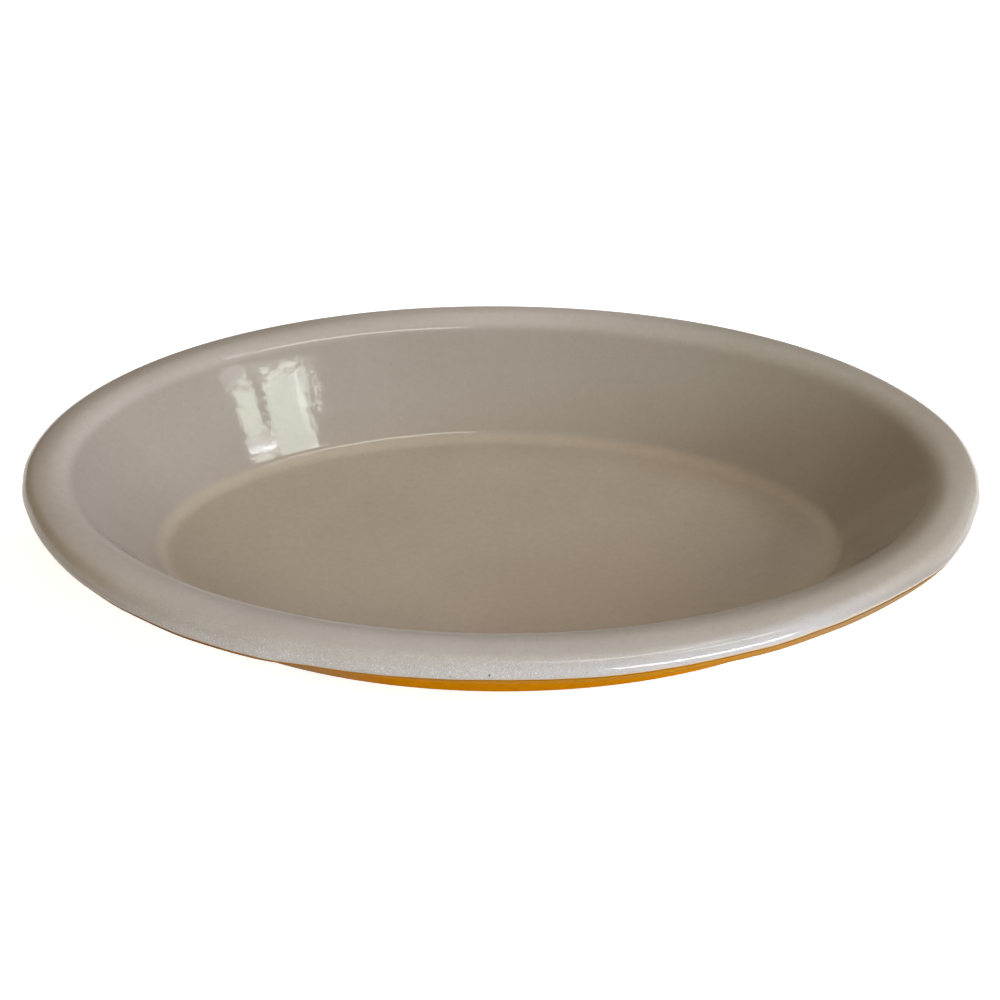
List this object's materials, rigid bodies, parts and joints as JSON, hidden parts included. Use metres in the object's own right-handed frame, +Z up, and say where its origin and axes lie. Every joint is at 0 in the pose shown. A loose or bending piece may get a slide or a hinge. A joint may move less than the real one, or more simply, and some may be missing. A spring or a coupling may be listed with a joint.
{
  "type": "gratin dish",
  "caption": "Shallow oval stoneware gratin dish with a leaning wall and a broad rounded lip, beige glaze inside, mustard glaze outside, on a bare foot ring.",
  "frame": {"origin": "on the table, under the middle of the dish, level with the foot ring", "axes": "+X along the length of the oval, +Y across it, +Z up out of the mouth"},
  "size_m": [0.32, 0.224, 0.042],
  "materials": {
    "bare_clay": "fired stoneware clay, unglazed, slightly gritty",
    "beige_glaze": "glossy beige glaze with fine dark and pale specks",
    "mustard_glaze": "glossy mustard glaze, browner where it runs thin",
    "base_glaze": "mustard glaze in the recess under the dish"
  },
  "bodies": {
    "root": {"clay_body": "bare_clay", "interior_glaze": "beige_glaze", "exterior_glaze": "mustard_glaze", "underside_glaze": "base_glaze"}
  },
  "joints": []
}
